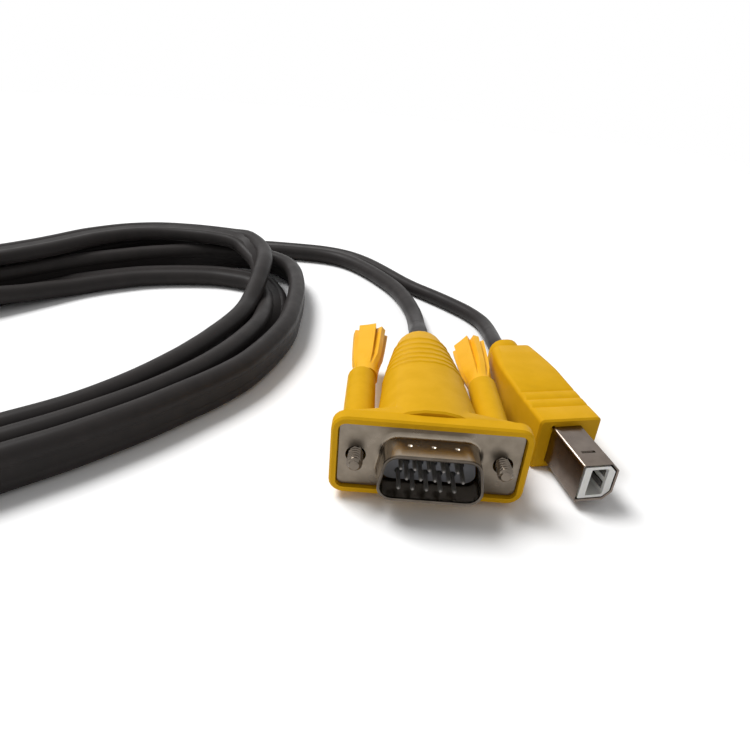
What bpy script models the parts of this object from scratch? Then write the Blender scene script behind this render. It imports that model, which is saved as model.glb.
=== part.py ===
"""A lead for a keyboard, video and mouse switch: two joined cores with a video plug and a USB plug at each end.

Lengths are in metres. X runs across the near video plug, Y back along it and Z up from the table.
Every plug is modelled with its mating face towards -Y and is then laid in its place on the table.
"""
import bmesh
import bpy
import numpy as np
from math import cos, hypot, pi, radians, sin, sqrt, tan
from mathutils import Euler, Matrix, Vector

MM = 0.001
CLEAR = 0.3 * MM
CORNER_STEPS = 5
RING_POINTS = 4 * (CORNER_STEPS + 1)
BURIED = 1.0 * MM

# Video plug: the metal plate, its D-shaped collar and the pins
SCREW_SPACING = 25.0 * MM
PLATE_END = 2.905 * MM
PLATE_W = SCREW_SPACING + 2 * PLATE_END
PLATE_H = 12.55 * MM
PLATE_T = 0.5 * MM
PLATE_CORNER = 1.1 * MM
SCREW_HOLE_D = 3.5 * MM
D_WIDTH = 17.47 * MM
D_HEIGHT = 8.9 * MM
D_CORNER = 2.6 * MM
D_SLOPE = radians(10)
D_REACH = 5.86 * MM
SHEET = 0.45 * MM
D_ROOT_FILLET = 0.9 * MM
DIMPLE_SPACING = 3.85 * MM
DIMPLE_Y = -2.7 * MM
DIMPLE_R = 0.75 * MM
DIMPLE_DEPTH = 0.22 * MM
INSULATOR_FACE = -0.9 * MM
INSULATOR_BACK = 4.3 * MM
PIN_COLUMNS = 5
PIN_ROWS = 3
PIN_PITCH = 2.29 * MM
PIN_ROW_PITCH = 1.98 * MM
PIN_ROW_SHIFT = 0.5725 * MM
PIN_D = 0.76 * MM
PIN_TIP = -5.6 * MM
PIN_TAIL = 2.6 * MM
PIN_SIDES = 8
PIN_TIP_D = 0.35 * MM
PIN_ROUND_D = 0.6 * MM
PIN_ROUND = 0.15 * MM
PIN_STRAIGHT = 0.45 * MM

# Video plug: the moulded hood
FLANGE_MARGIN = 1.165 * MM
FLANGE_EXTRA_H = 0.14 * MM
FLANGE_LIP = 0.25 * MM
FLANGE_PROUD = 0.75 * MM
FLANGE_BACK = 2.0 * MM
FLANGE_CORNER = 2.6 * MM
FLANGE_EDGE = 0.35 * MM
SHOULDER_W = 15.2 * MM
SHOULDER_TOP_W = 5.5 * MM
SHOULDER_H = 7.5 * MM
SHOULDER_TOP_H = 6.75 * MM
SHOULDER_END = 6.2 * MM
BODY_START = 1.6 * MM
BODY_HALF_W = 9.75 * MM
BODY_HALF_H = 8.7 * MM
TAIL_HALF = 5.65 * MM
TAIL_END = 38.7 * MM
DOME = 2.6 * MM
DOME_HALF = 4.0 * MM
BODY_BULGE = 0.8 * MM
BODY_SQUARENESS = 2.3
RIDGES = 6
RIDGE_LAST = 35.3 * MM
RIDGE_STEP = 3.0 * MM
RIDGE_EASE = 0.1 * MM
RIDGE_WIDTH = 1.3 * MM
RIDGE_RISE = 0.2 * MM
SLEEVE_START_D = 6.1 * MM
SLEEVE_END_D = 5.8 * MM
SLEEVE_END = 26.0 * MM
SLEEVE_SIDES = 20
SLEEVE_BORE_D = 4.4 * MM
LEAD_SOCKET = 8.0 * MM

# Thumbscrews
SCREW_D = 2.84 * MM
SHANK_D = 2.3 * MM
SCREW_TIP = -3.2 * MM
SCREW_POINT = 0.5 * MM
THREAD_END = 3.4 * MM
SHANK_IN_KNOB = 8.0 * MM
SCREW_SIDES = 16
KNOB_COLLAR_D = 5.2 * MM
KNOB_LOBE_D = 8.1 * MM
KNOB_FLUTE_D = 5.6 * MM
KNOB_LENGTH = 19.7 * MM
KNOB_COLLAR = 2.2 * MM
KNOB_WINGS = 3
KNOB_WING_HALF = radians(29)
KNOB_WING_DIP = 0.86
KNOB_GROOVE_AT = radians(39)
KNOB_RIDGE_HALF = radians(9)
KNOB_FLARE = 0.45
KNOB_EDGE = 0.35 * MM
LEFT_TURN = radians(-14)
RIGHT_TURN = radians(-48)
LEFT_LEAN = radians(-1.6)
RIGHT_DROOP = radians(-1.5)

# Square USB plug, lying on its side with its two cut corners towards +X
B_SHELL_W = 7.3 * MM
B_SHELL_H = 8.0 * MM
B_SHELL_CUT = 1.6 * MM
B_SHELL_CORNER = 0.5 * MM
B_SHELL_T = 0.35 * MM
B_REACH = 11.7 * MM
B_SHELL_IN_GRIP = 6.0 * MM
B_GRIP_W = 12.6 * MM
B_GRIP_H = 10.95 * MM
B_GRIP_CORNER = 0.9 * MM
B_GRIP_STRAIGHT = 31.0 * MM
B_GRIP_END = 44.5 * MM
B_GRIP_END_W = 10.1 * MM
B_GRIP_END_H = 10.6 * MM
B_GRIP_TAPER = 1.7 * MM
B_GRIP_EASE = 1.5
B_COLLAR_END = 48.4 * MM
B_COLLAR_W = 7.5 * MM
B_COLLAR_H = 8.6 * MM
B_COLLAR_CORNER = 3.1 * MM
B_GROOVE_CORNER = 2.9 * MM
B_GROOVE = 0.5 * MM
B_TAIL_BEND = 1.9 * MM
B_OPENING_W = 3.3 * MM
B_OPENING_H = 5.6 * MM
B_OPENING_DEPTH = 8.5 * MM
B_INSULATOR_SET = 0.15 * MM
B_INSULATOR_BACK = 15.0 * MM
B_CONTACT_SPREAD = 2.5 * MM
B_CONTACT_W = 1.0 * MM
B_SLOT_FROM = -2.2 * MM
B_SLOT_TO = 0.5 * MM
B_SLOT_Y = 3.4 * MM
B_SLOT_W = 0.6 * MM
RIB_COUNT = 3
RIB_FIRST = 17.3 * MM
RIB_STEP = 2.85 * MM
RIB_WIDTH = 1.2 * MM
RIB_RISE = 0.3 * MM
B_ASIDE = 17.465 * MM
B_X = SCREW_SPACING / 2 + B_ASIDE
B_Y = 1.455 * MM
B_YAW = radians(12.84)

# Flat USB plug at the far end
A_SHELL_W = 12.0 * MM
A_SHELL_H = 4.5 * MM
A_SHELL_CORNER = 0.5 * MM
A_SHELL_T = 0.3 * MM
A_REACH = 11.75 * MM
A_SHELL_IN_GRIP = 5.0 * MM
A_WINDOW = 2.0 * MM
A_WINDOW_SPACING = 5.4 * MM
A_WINDOW_Y = 5.2 * MM
A_TONGUE_T = 1.6 * MM
A_TONGUE_SET = 0.8 * MM
A_BLOCK_FACE = 9.4 * MM
A_BLOCK_BACK = 15.5 * MM
A_CONTACT_PITCH = 2.3 * MM
A_CONTACT_W = 1.0 * MM
A_GRIP_W = 15.7 * MM
A_GRIP_H = 8.2 * MM
A_GRIP_CORNER = 1.6 * MM
A_GRIP_END = 40.0 * MM
A_GRIP_END_W = 9.0 * MM
A_GRIP_END_H = 7.6 * MM
A_COLLAR_END = 44.5 * MM
A_COLLAR_W = 7.2 * MM
A_COLLAR_H = 6.9 * MM
A_COLLAR_CORNER = 3.0 * MM
A_TAIL_CORNER = 2.6 * MM
A_GRIP_STRAIGHT = 27.3 * MM
CONTACT_T = 0.35 * MM
CONTACT_GROOVE = 0.5 * MM

# The two cores of the lead and the places of the far plugs
VIDEO_CORE_D = 4.7 * MM
USB_CORE_D = 4.1 * MM
VIDEO_REST = VIDEO_CORE_D / 2
USB_REST = USB_CORE_D / 2
CORE_GAP = 0.35 * MM
CORES_APART = (VIDEO_CORE_D + USB_CORE_D) / 2 + CORE_GAP
LEAD_STEPS = 8.5 * MM
FAR_VIDEO_X = -177.0 * MM
FAR_VIDEO_Y = 126.0 * MM
FAR_VIDEO_YAW = radians(178)
FAR_A_X = -204.0 * MM
FAR_A_Y = 122.0 * MM
FAR_A_YAW = radians(183)

# Routes, in millimetres from the middle of the near video plug's plate
VIDEO_BRANCH = [(0, 42.5, 8.7), (0.3, 48.5, 8.4), (0.5, 53.0, 7.5), (0.8, 57.0, 6.1), (1.0, 61.4, 4.6),
                (1.1, 66.0, 3.4), (1.1, 71.0, 2.7), (0.8, 75.8, 2.4), (0.2, 80.0, 2.4), (-0.8, 84.6, 2.4),
                (-2.0, 89.2, 2.4), (-3.8, 94.3, 2.4), (-6.2, 99.4, 2.4)]
USB_BRANCH = [(20.5, 56.0, 4.9), (20.9, 66.2, 3.2), (20.3, 74.4, 2.3), (18.6, 79.0, 2.1), (16.1, 83.0, 2.1),
              (13.1, 86.6, 2.1), (9.5, 90.6, 2.1), (5.7, 94.4, 2.1), (1.9, 98.1, 2.1), (-2.0, 102.9, 2.1)]
NEAR_TWIN = [(-8.8, 108.0), (-13.1, 113.9), (-18.0, 119.2), (-23.7, 123.1), (-30.6, 125.1), (-38.0, 125.5),
             (-45.3, 125.5), (-52.0, 124.7), (-60.0, 122.0), (-68.0, 118.9)]
FAR_TWIN = [(-136.0, 64.0), (-142.4, 59.0), (-150.0, 56.5), (-158.0, 56.2)]
FAR_VIDEO_BRANCH = [(-167.0, 60.5, 2.4), (-173.5, 61.0, 2.65), (-177.8, 66.5, 4.6), (-178.8, 73.0, 7.6)]
FAR_USB_BRANCH = [(-166.5, 52.0, 2.1), (-176.0, 49.5, 2.1), (-189.0, 52.0, 2.1), (-198.5, 59.5, 2.2),
                  (-201.6, 69.0, 3.6)]

# The coil's middle line against the clock, with its width and height at each point
COIL_LINE = [(-74.8, -2.0, 13.5, 8.7), (-62.2, 9.0, 12.8, 8.7), (-51.9, 20.8, 14.0, 8.7), (-43.4, 35.0, 16.2, 8.7),
             (-38.5, 52.0, 15.6, 8.7), (-37.9, 66.0, 15.8, 8.7), (-39.7, 82.0, 17.3, 8.7), (-43.5, 95.5, 18.5, 8.8),
             (-52.5, 102.0, 20.0, 10.5), (-64.6, 103.0, 22.5, 12.9), (-81.9, 98.8, 23.5, 13.0),
             (-92.6, 92.9, 22.5, 12.4), (-101.8, 85.1, 21.3, 11.6), (-112.0, 73.5, 19.5, 10.4),
             (-129.0, 52.0, 16.0, 9.0), (-140.0, 35.0, 14.0, 8.7), (-147.0, 13.0, 13.5, 8.7),
             (-145.0, -7.0, 13.5, 8.7), (-133.0, -24.0, 13.5, 8.7), (-116.0, -31.0, 13.5, 8.7),
             (-103.0, -26.0, 13.5, 8.7), (-88.0, -14.5, 13.5, 8.7)]
COIL_RING_STEPS = 3
COIL_SPAN_STEPS = 2


def paint(name, colour, roughness, metallic=0.0):
    """Plain material of one colour."""
    material = bpy.data.materials.new(name)
    material.use_nodes = True
    shader = material.node_tree.nodes["Principled BSDF"]
    shader.inputs["Base Color"].default_value = (*colour, 1.0)
    shader.inputs["Roughness"].default_value = roughness
    shader.inputs["Metallic"].default_value = metallic
    material.diffuse_color = (*colour, 1.0)
    return material


def make_paints():
    """The materials of the whole lead, by name."""
    return {
        "hood": paint("Yellow moulding", (0.72, 0.40, 0.012), 0.45),
        "knob": paint("Amber knob plastic", (0.90, 0.46, 0.04), 0.4),
        "plate": paint("Tin plate", (0.42, 0.38, 0.34), 0.32, 1.0),
        "screw": paint("Screw steel", (0.45, 0.42, 0.38), 0.3, 1.0),
        "pin": paint("Gold contact", (0.80, 0.62, 0.30), 0.25, 1.0),
        "dark": paint("Dark insulator", (0.012, 0.02, 0.03), 0.5),
        "white": paint("White insulator", (0.62, 0.62, 0.60), 0.5),
        "shell": paint("Nickel shell", (0.50, 0.46, 0.43), 0.25, 1.0),
        "lead": paint("Black jacket", (0.03, 0.028, 0.028), 0.35),
    }


def rounded_box(width, height, radius):
    """Outline of a box with round corners as (x, z) pairs, from the lower right corner."""
    points = []
    for corner in range(4):
        side = 1 if corner in (0, 1) else -1
        level = 1 if corner in (1, 2) else -1
        for step in range(CORNER_STEPS + 1):
            angle = radians(90 * (corner - 1) + 90 * step / CORNER_STEPS)
            x = side * (width / 2 - radius) + radius * cos(angle)
            z = level * (height / 2 - radius) + radius * sin(angle)
            points.append((x, z))
    return points


def cut_corner_box(width, height, radius, cut):
    """Outline of a box whose two corners on the +X side are cut at 45 degrees."""
    points = rounded_box(width, height, radius)
    for step in range(CORNER_STEPS + 1):
        along = cut * step / CORNER_STEPS
        points[step] = (width / 2 - cut + along, -height / 2 + along)
        points[CORNER_STEPS + 1 + step] = (width / 2 - along, height / 2 - cut + along)
    return points


def d_outline(grow):
    """Outline of the D-shaped collar, wide side down, moved outwards by grow."""
    radius = D_CORNER + grow
    level = D_HEIGHT / 2 - D_CORNER
    low_x = D_WIDTH / 2 - D_CORNER
    high_x = low_x - 2 * level * tan(D_SLOPE)
    lean = D_SLOPE
    arcs = [(low_x, -level, -pi / 2, lean), (high_x, level, lean, pi / 2),
            (-high_x, level, pi / 2, pi - lean), (-low_x, -level, pi - lean, 3 * pi / 2)]
    points = []
    for x, z, start, end in arcs:
        for step in range(CORNER_STEPS + 1):
            angle = start + (end - start) * step / CORNER_STEPS
            points.append((x + radius * cos(angle), z + radius * sin(angle)))
    return points


def oval(half_w, half_h, squareness=2.0, count=RING_POINTS):
    """Outline of an oval; a squareness over 2 fills its corners."""
    points = []
    for step in range(count):
        angle = 2 * pi * (step + 0.5) / count - pi / 2
        reach_x = abs(cos(angle)) ** (2 / squareness)
        reach_z = abs(sin(angle)) ** (2 / squareness)
        x = half_w * reach_x * (1 if cos(angle) > 0 else -1)
        z = half_h * reach_z * (1 if sin(angle) > 0 else -1)
        points.append((x, z))
    return points


def ring(outline, y, x=0.0, z=0.0):
    """An outline stood across the plug at y."""
    return [(x + px, y, z + pz) for px, pz in outline]


def mesh_from_bmesh(name, shape, material):
    """Turns a finished bmesh into a smooth-shaded mesh with sharp edges kept."""
    bmesh.ops.recalc_face_normals(shape, faces=shape.faces)
    mesh = bpy.data.meshes.new(name)
    shape.to_mesh(mesh)
    shape.free()
    mesh.materials.append(material)
    mesh.shade_smooth()
    mesh.set_sharp_from_angle(angle=radians(35))
    return mesh


def loft(name, rings, material, looped=False):
    """Solid skinned over rings of equal count, capped at both ends or looped back to the first."""
    shape = bmesh.new()
    loops = [[shape.verts.new(point) for point in points] for points in rings]
    pairs = list(zip(loops, loops[1:]))
    if looped:
        pairs.append((loops[-1], loops[0]))
    for near, far in pairs:
        count = len(near)
        for step in range(count):
            after = (step + 1) % count
            shape.faces.new((near[step], near[after], far[after], far[step]))
    if not looped:
        shape.faces.new(loops[0])
        shape.faces.new(loops[-1])
    return mesh_from_bmesh(name, shape, material)


def rod(name, stations, sides, material):
    """Turned solid along Y from (y, diameter) stations."""
    rings = [ring(oval(d / 2, d / 2, count=sides), y) for y, d in stations]
    return loft(name, rings, material)


def block(name, low, high, material):
    """Plain block between two opposite corners."""
    shape = bmesh.new()
    bmesh.ops.create_cube(shape, size=1.0)
    for vert in shape.verts:
        vert.co = Vector([a + (b - a) * (c + 0.5) for a, b, c in zip(low, high, vert.co)])
    return mesh_from_bmesh(name, shape, material)


def moved(mesh, offset):
    """The same mesh with its points moved by offset."""
    mesh.transform(Matrix.Translation(offset))
    return mesh


def combine(mesh, others, operation):
    """Joins other meshes to this one, or cuts them out of it, one after another."""
    target = bpy.data.objects.new("target", mesh)
    bpy.context.collection.objects.link(target)
    tools = []
    for other in others:
        tool = bpy.data.objects.new("tool", other)
        bpy.context.collection.objects.link(tool)
        tools.append(tool)
        change = target.modifiers.new("change", "BOOLEAN")
        change.operation = operation
        change.object = tool
    bpy.context.view_layer.update()
    graph = bpy.context.evaluated_depsgraph_get()
    result = bpy.data.meshes.new_from_object(target.evaluated_get(graph))
    for used in [target] + tools:
        bpy.data.objects.remove(used)
    result.name = mesh.name
    result.materials.clear()
    result.materials.append(mesh.materials[0])
    return result


def add(name, mesh, parent, location=(0, 0, 0), turn=0.0, lean=0.0, droop=0.0):
    """A named piece on its plug, turned about its own long axis, then leant sideways or down."""
    piece = bpy.data.objects.new(name, mesh)
    bpy.context.collection.objects.link(piece)
    piece.parent = parent
    piece.location = location
    piece.rotation_mode = "YXZ"
    piece.rotation_euler = Euler((droop, turn, lean), "YXZ")
    return piece


def seat(name, x, y, z, yaw):
    """The empty that a whole plug hangs on."""
    empty = bpy.data.objects.new(name, None)
    bpy.context.collection.objects.link(empty)
    empty.location = (x, y, z)
    empty.rotation_euler = Euler((0, 0, yaw))
    return empty


def video_shell(paints):
    """Pressed plate with the D-shaped collar drawn out of it, dimples and two screw holes."""
    edge = rounded_box(PLATE_W, PLATE_H, PLATE_CORNER)
    rings = [ring(edge, PLATE_T), ring(edge, 0)]
    for step in range(4):
        turn = pi / 2 * step / 3
        grow = D_ROOT_FILLET * (1 - sin(turn))
        rings.append(ring(d_outline(grow), -D_ROOT_FILLET * (1 - cos(turn))))
    rings.append(ring(d_outline(0), -D_REACH + SHEET / 3))
    rings.append(ring(d_outline(-SHEET / 3), -D_REACH))
    rings.append(ring(d_outline(-SHEET), -D_REACH + SHEET / 3))
    rings.append(ring(d_outline(-SHEET), -D_ROOT_FILLET))
    rings.append(ring(d_outline(D_ROOT_FILLET / 2 - SHEET), PLATE_T))
    shell = loft("video shell", rings, paints["plate"], looped=True)
    holes = []
    for side in (-1, 1):
        stations = [(-BURIED, SCREW_HOLE_D), (BURIED, SCREW_HOLE_D)]
        hole = rod("screw hole", stations, SLEEVE_SIDES, paints["plate"])
        holes.append(moved(hole, (side * SCREW_SPACING / 2, 0, 0)))
    return combine(shell, holes + shell_dimples(paints), "DIFFERENCE")


def shell_dimples(paints):
    """Cutters for the three dimples pressed into the narrow side of the collar."""
    cutters = []
    for column in (-1, 0, 1):
        shape = bmesh.new()
        bmesh.ops.create_icosphere(shape, subdivisions=2, radius=DIMPLE_R)
        cutter = mesh_from_bmesh("dimple", shape, paints["plate"])
        height = D_HEIGHT / 2 + DIMPLE_R - DIMPLE_DEPTH
        cutters.append(moved(cutter, (column * DIMPLE_SPACING, DIMPLE_Y, height)))
    return cutters


def pin_places():
    """Middles of the fifteen pins as (x, z); the middle row stands half a step aside."""
    places = []
    for row in range(PIN_ROWS):
        shift = PIN_ROW_SHIFT if row == 1 else -PIN_ROW_SHIFT
        for column in range(PIN_COLUMNS):
            x = (column - (PIN_COLUMNS - 1) / 2) * PIN_PITCH + shift
            places.append((x, (1 - row) * PIN_ROW_PITCH))
    return places


def pin(paints):
    """One round pin with a rounded tip."""
    stations = [(PIN_TIP, PIN_TIP_D), (PIN_TIP + PIN_ROUND, PIN_ROUND_D), (PIN_TIP + PIN_STRAIGHT, PIN_D),
                (PIN_TAIL, PIN_D)]
    return rod("pin", stations, PIN_SIDES, paints["pin"])


def video_insulator(paints, drilled):
    """Moulded block that carries the pins, drilled for loose pins or made whole with them."""
    outline = d_outline(-SHEET - CLEAR)
    body = loft("video insulator", [ring(outline, INSULATOR_FACE), ring(outline, INSULATOR_BACK)], paints["dark"])
    tools = []
    for x, z in pin_places():
        if drilled:
            tool = rod("hole", [(INSULATOR_FACE - BURIED, PIN_D + 2 * CLEAR),
                                (PIN_TAIL + CLEAR, PIN_D + 2 * CLEAR)], PIN_SIDES, paints["dark"])
        else:
            tool = pin(paints)
        tools.append(moved(tool, (x, 0, z)))
    return combine(body, tools, "DIFFERENCE" if drilled else "UNION")


def flange(paints):
    """Front of the hood: a rounded block with the recess that the plate lies in."""
    width = PLATE_W + 2 * (FLANGE_LIP + FLANGE_MARGIN)
    height = PLATE_H + 2 * (FLANGE_LIP + FLANGE_MARGIN) + FLANGE_EXTRA_H
    edge = FLANGE_EDGE
    recess = rounded_box(PLATE_W + 2 * FLANGE_LIP, PLATE_H + 2 * FLANGE_LIP, PLATE_CORNER + FLANGE_LIP)
    outer = rounded_box(width, height, FLANGE_CORNER)
    eased = rounded_box(width - 2 * edge, height - 2 * edge, FLANGE_CORNER - edge)
    rings = [ring(recess, PLATE_T + CLEAR), ring(recess, -FLANGE_PROUD), ring(eased, -FLANGE_PROUD),
             ring(outer, -FLANGE_PROUD + edge), ring(outer, FLANGE_BACK - edge), ring(eased, FLANGE_BACK)]
    return loft("video hood", rings, paints["hood"])


def shoulders(paints):
    """Sloping webs that run from the flange up to the hood's body."""
    low = rounded_box(2 * SHOULDER_W, 2 * SHOULDER_H, FLANGE_CORNER)
    high = rounded_box(2 * SHOULDER_TOP_W, 2 * SHOULDER_TOP_H, FLANGE_CORNER)
    rings = [ring(low, PLATE_T + BURIED), ring(low, FLANGE_BACK + FLANGE_EDGE), ring(high, SHOULDER_END)]
    return loft("shoulders", rings, paints["hood"])


def body_ring(y, rise=0.0):
    """Ring of the hood's body at y: it narrows from the front to the tail and swells a little between."""
    t = (y - BODY_START) / (TAIL_END - BODY_START)
    swell = BODY_BULGE * sin(pi * t)
    half_w = BODY_HALF_W + (TAIL_HALF - BODY_HALF_W) * t + swell + rise
    half_h = BODY_HALF_H + (TAIL_HALF - BODY_HALF_H) * t + rise
    return ring(oval(half_w, half_h, BODY_SQUARENESS), y)


def hood_body(paints):
    """The hood's body with its ridges, its domed tail and the socket that the core sits in."""
    edge = FLANGE_EDGE
    front = oval(BODY_HALF_W - edge, BODY_HALF_H - edge, BODY_SQUARENESS)
    rings = [ring(front, BODY_START), body_ring(BODY_START + edge), body_ring(SHOULDER_END + BURIED)]
    for ridge in reversed(range(RIDGES)):
        middle = RIDGE_LAST - RIDGE_STEP * ridge + RIDGE_EASE * ridge ** 2
        rings.append(body_ring(middle - RIDGE_WIDTH / 2))
        rings.append(body_ring(middle - RIDGE_WIDTH / 4, RIDGE_RISE))
        rings.append(body_ring(middle + RIDGE_WIDTH / 4, RIDGE_RISE))
        rings.append(body_ring(middle + RIDGE_WIDTH / 2))
    for step in range(4):
        turn = pi / 2 * step / 3
        half = DOME_HALF + (TAIL_HALF - DOME_HALF) * cos(turn)
        rings.append(ring(oval(half, half), TAIL_END + DOME * sin(turn)))
    socket = oval(VIDEO_CORE_D / 2 + CLEAR, VIDEO_CORE_D / 2 + CLEAR)
    rings.append(ring(socket, TAIL_END + DOME))
    rings.append(ring(socket, TAIL_END + DOME - LEAD_SOCKET))
    return loft("body", rings, paints["hood"])


def sleeve(side, paints):
    """Slim tube on the back of the flange that guides one thumbscrew."""
    stations = [(PLATE_T + BURIED, SLEEVE_START_D), (SLEEVE_END, SLEEVE_END_D)]
    tube = rod("sleeve", stations, SLEEVE_SIDES, paints["hood"])
    return moved(tube, (side * SCREW_SPACING / 2, 0, 0))


def screw_bore(side, paints):
    """Cutter for the bore that one screw runs in."""
    stations = [(0, SLEEVE_BORE_D), (SLEEVE_END + BURIED, SLEEVE_BORE_D)]
    tool = rod("bore", stations, SCREW_SIDES, paints["hood"])
    return moved(tool, (side * SCREW_SPACING / 2, 0, 0))


def video_hood(paints):
    """Moulded hood in one piece: flange, shoulders, ridged body and two screw sleeves."""
    parts = [shoulders(paints), hood_body(paints), sleeve(-1, paints), sleeve(1, paints)]
    hood = combine(flange(paints), parts, "UNION")
    outline = d_outline(D_ROOT_FILLET / 2)
    pocket = loft("pocket", [ring(outline, 0), ring(outline, INSULATOR_BACK + CLEAR)], paints["hood"])
    return combine(hood, [pocket, screw_bore(-1, paints), screw_bore(1, paints)], "DIFFERENCE")


def knob_ring(y, lobe_d, groove_d):
    """Ring of the knob: three wide wings, slightly hollow on top, and a narrow ridge between each two."""
    dip_d = groove_d + (lobe_d * KNOB_WING_DIP - groove_d) * (lobe_d > groove_d)
    points = []
    for wing in range(KNOB_WINGS):
        middle = pi / 2 - 2 * pi * wing / KNOB_WINGS
        ridge = middle - pi / KNOB_WINGS
        for angle, diameter in ((middle + KNOB_GROOVE_AT, groove_d), (middle + KNOB_WING_HALF, lobe_d),
                                (middle, dip_d), (middle - KNOB_WING_HALF, lobe_d),
                                (middle - KNOB_GROOVE_AT, groove_d), (ridge + KNOB_RIDGE_HALF, lobe_d),
                                (ridge - KNOB_RIDGE_HALF, lobe_d)):
            points.append((diameter / 2 * cos(angle), diameter / 2 * sin(angle)))
    return ring(points, y)


def knob(paints):
    """Thumbscrew knob: a round collar that opens into wings and ridges, bored for its screw."""
    bore = SHANK_D + 2 * CLEAR
    start = SLEEVE_END + CLEAR
    collar_end = start + KNOB_COLLAR
    rings = [knob_ring(start + SHANK_IN_KNOB + CLEAR, bore, bore), knob_ring(start, bore, bore),
             knob_ring(start, KNOB_COLLAR_D, KNOB_COLLAR_D), knob_ring(collar_end, KNOB_COLLAR_D, KNOB_COLLAR_D)]
    for step in range(1, 5):
        t = step / 4
        y = collar_end + (KNOB_LENGTH - KNOB_COLLAR - KNOB_EDGE) * t
        lobe = KNOB_COLLAR_D + (KNOB_LOBE_D - KNOB_COLLAR_D) * t ** KNOB_FLARE
        rings.append(knob_ring(y, lobe, KNOB_COLLAR_D + (KNOB_FLUTE_D - KNOB_COLLAR_D) * t))
    rings.append(knob_ring(start + KNOB_LENGTH, KNOB_LOBE_D - 2 * KNOB_EDGE, KNOB_FLUTE_D - 2 * KNOB_EDGE))
    return loft("knob", rings, paints["knob"])


def screw(paints):
    """Screw with a plain thread-wide front and a slim shank that is held in the knob."""
    stations = [(SCREW_TIP, SCREW_D - 2 * SCREW_POINT), (SCREW_TIP + SCREW_POINT, SCREW_D), (THREAD_END, SCREW_D),
                (THREAD_END + SCREW_POINT, SHANK_D), (SLEEVE_END + CLEAR + SHANK_IN_KNOB, SHANK_D)]
    return rod("screw", stations, SCREW_SIDES, paints["screw"])


def usb_b_shell(paints):
    """Drawn metal shell of the square plug, open at both ends, with its latch slot."""
    def wall(inset):
        width = B_SHELL_W - 2 * inset
        height = B_SHELL_H - 2 * inset
        return cut_corner_box(width, height, B_SHELL_CORNER - inset / 2, B_SHELL_CUT - inset * (2 - sqrt(2)))
    end = B_REACH + B_SHELL_IN_GRIP
    bend = B_SHELL_T / 2
    rings = [ring(wall(bend / 2), 0), ring(wall(0), bend), ring(wall(0), end),
             ring(wall(B_SHELL_T), end), ring(wall(B_SHELL_T), bend)]
    shell = loft("usb b shell", rings, paints["shell"], looped=True)
    slot = block("slot", (B_SLOT_FROM, B_SLOT_Y, B_SHELL_H / 2 - 2 * B_SHELL_T),
                 (B_SLOT_TO, B_SLOT_Y + B_SLOT_W, B_SHELL_H / 2 + BURIED), paints["shell"])
    return combine(shell, [slot], "DIFFERENCE")


def b_contact_places():
    """Where the square plug's contacts stand: two on the left wall of the opening and two on the right."""
    return [(side, level * B_CONTACT_SPREAD / 2) for side in (-1, 1) for level in (1, -1)]


def usb_b_insulator(paints):
    """White block in the shell with the square opening and four contact grooves."""
    inset = B_SHELL_T + CLEAR
    width = B_SHELL_W - 2 * inset
    height = B_SHELL_H - 2 * inset
    outline = cut_corner_box(width, height, B_SHELL_CORNER - inset / 2, B_SHELL_CUT - inset * (2 - sqrt(2)))
    opening = rounded_box(B_OPENING_W, B_OPENING_H, CLEAR)
    rings = [ring(opening, B_OPENING_DEPTH), ring(opening, B_INSULATOR_SET), ring(outline, B_INSULATOR_SET),
             ring(outline, B_INSULATOR_BACK)]
    body = loft("usb b insulator", rings, paints["white"])
    grooves = []
    for side, z in b_contact_places():
        wall = side * B_OPENING_W / 2
        half = B_CONTACT_W / 2 + CLEAR
        low = (min(wall - side * BURIED, wall + side * CONTACT_GROOVE), 2 * B_INSULATOR_SET + BURIED / 2, z - half)
        high = (max(wall - side * BURIED, wall + side * CONTACT_GROOVE), B_OPENING_DEPTH - BURIED, z + half)
        grooves.append(block("groove", low, high, paints["white"]))
    return combine(body, grooves, "DIFFERENCE")


def usb_b_contact(paints):
    """Flat contact spring, centred on the wall that it lies in."""
    front = 2 * B_INSULATOR_SET + BURIED / 2 + CLEAR
    back = B_OPENING_DEPTH - BURIED - CLEAR
    low = (-CONTACT_T / 2, front, -B_CONTACT_W / 2)
    high = (CONTACT_T / 2, back, B_CONTACT_W / 2)
    return block("usb b contact", low, high, paints["pin"])


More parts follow.
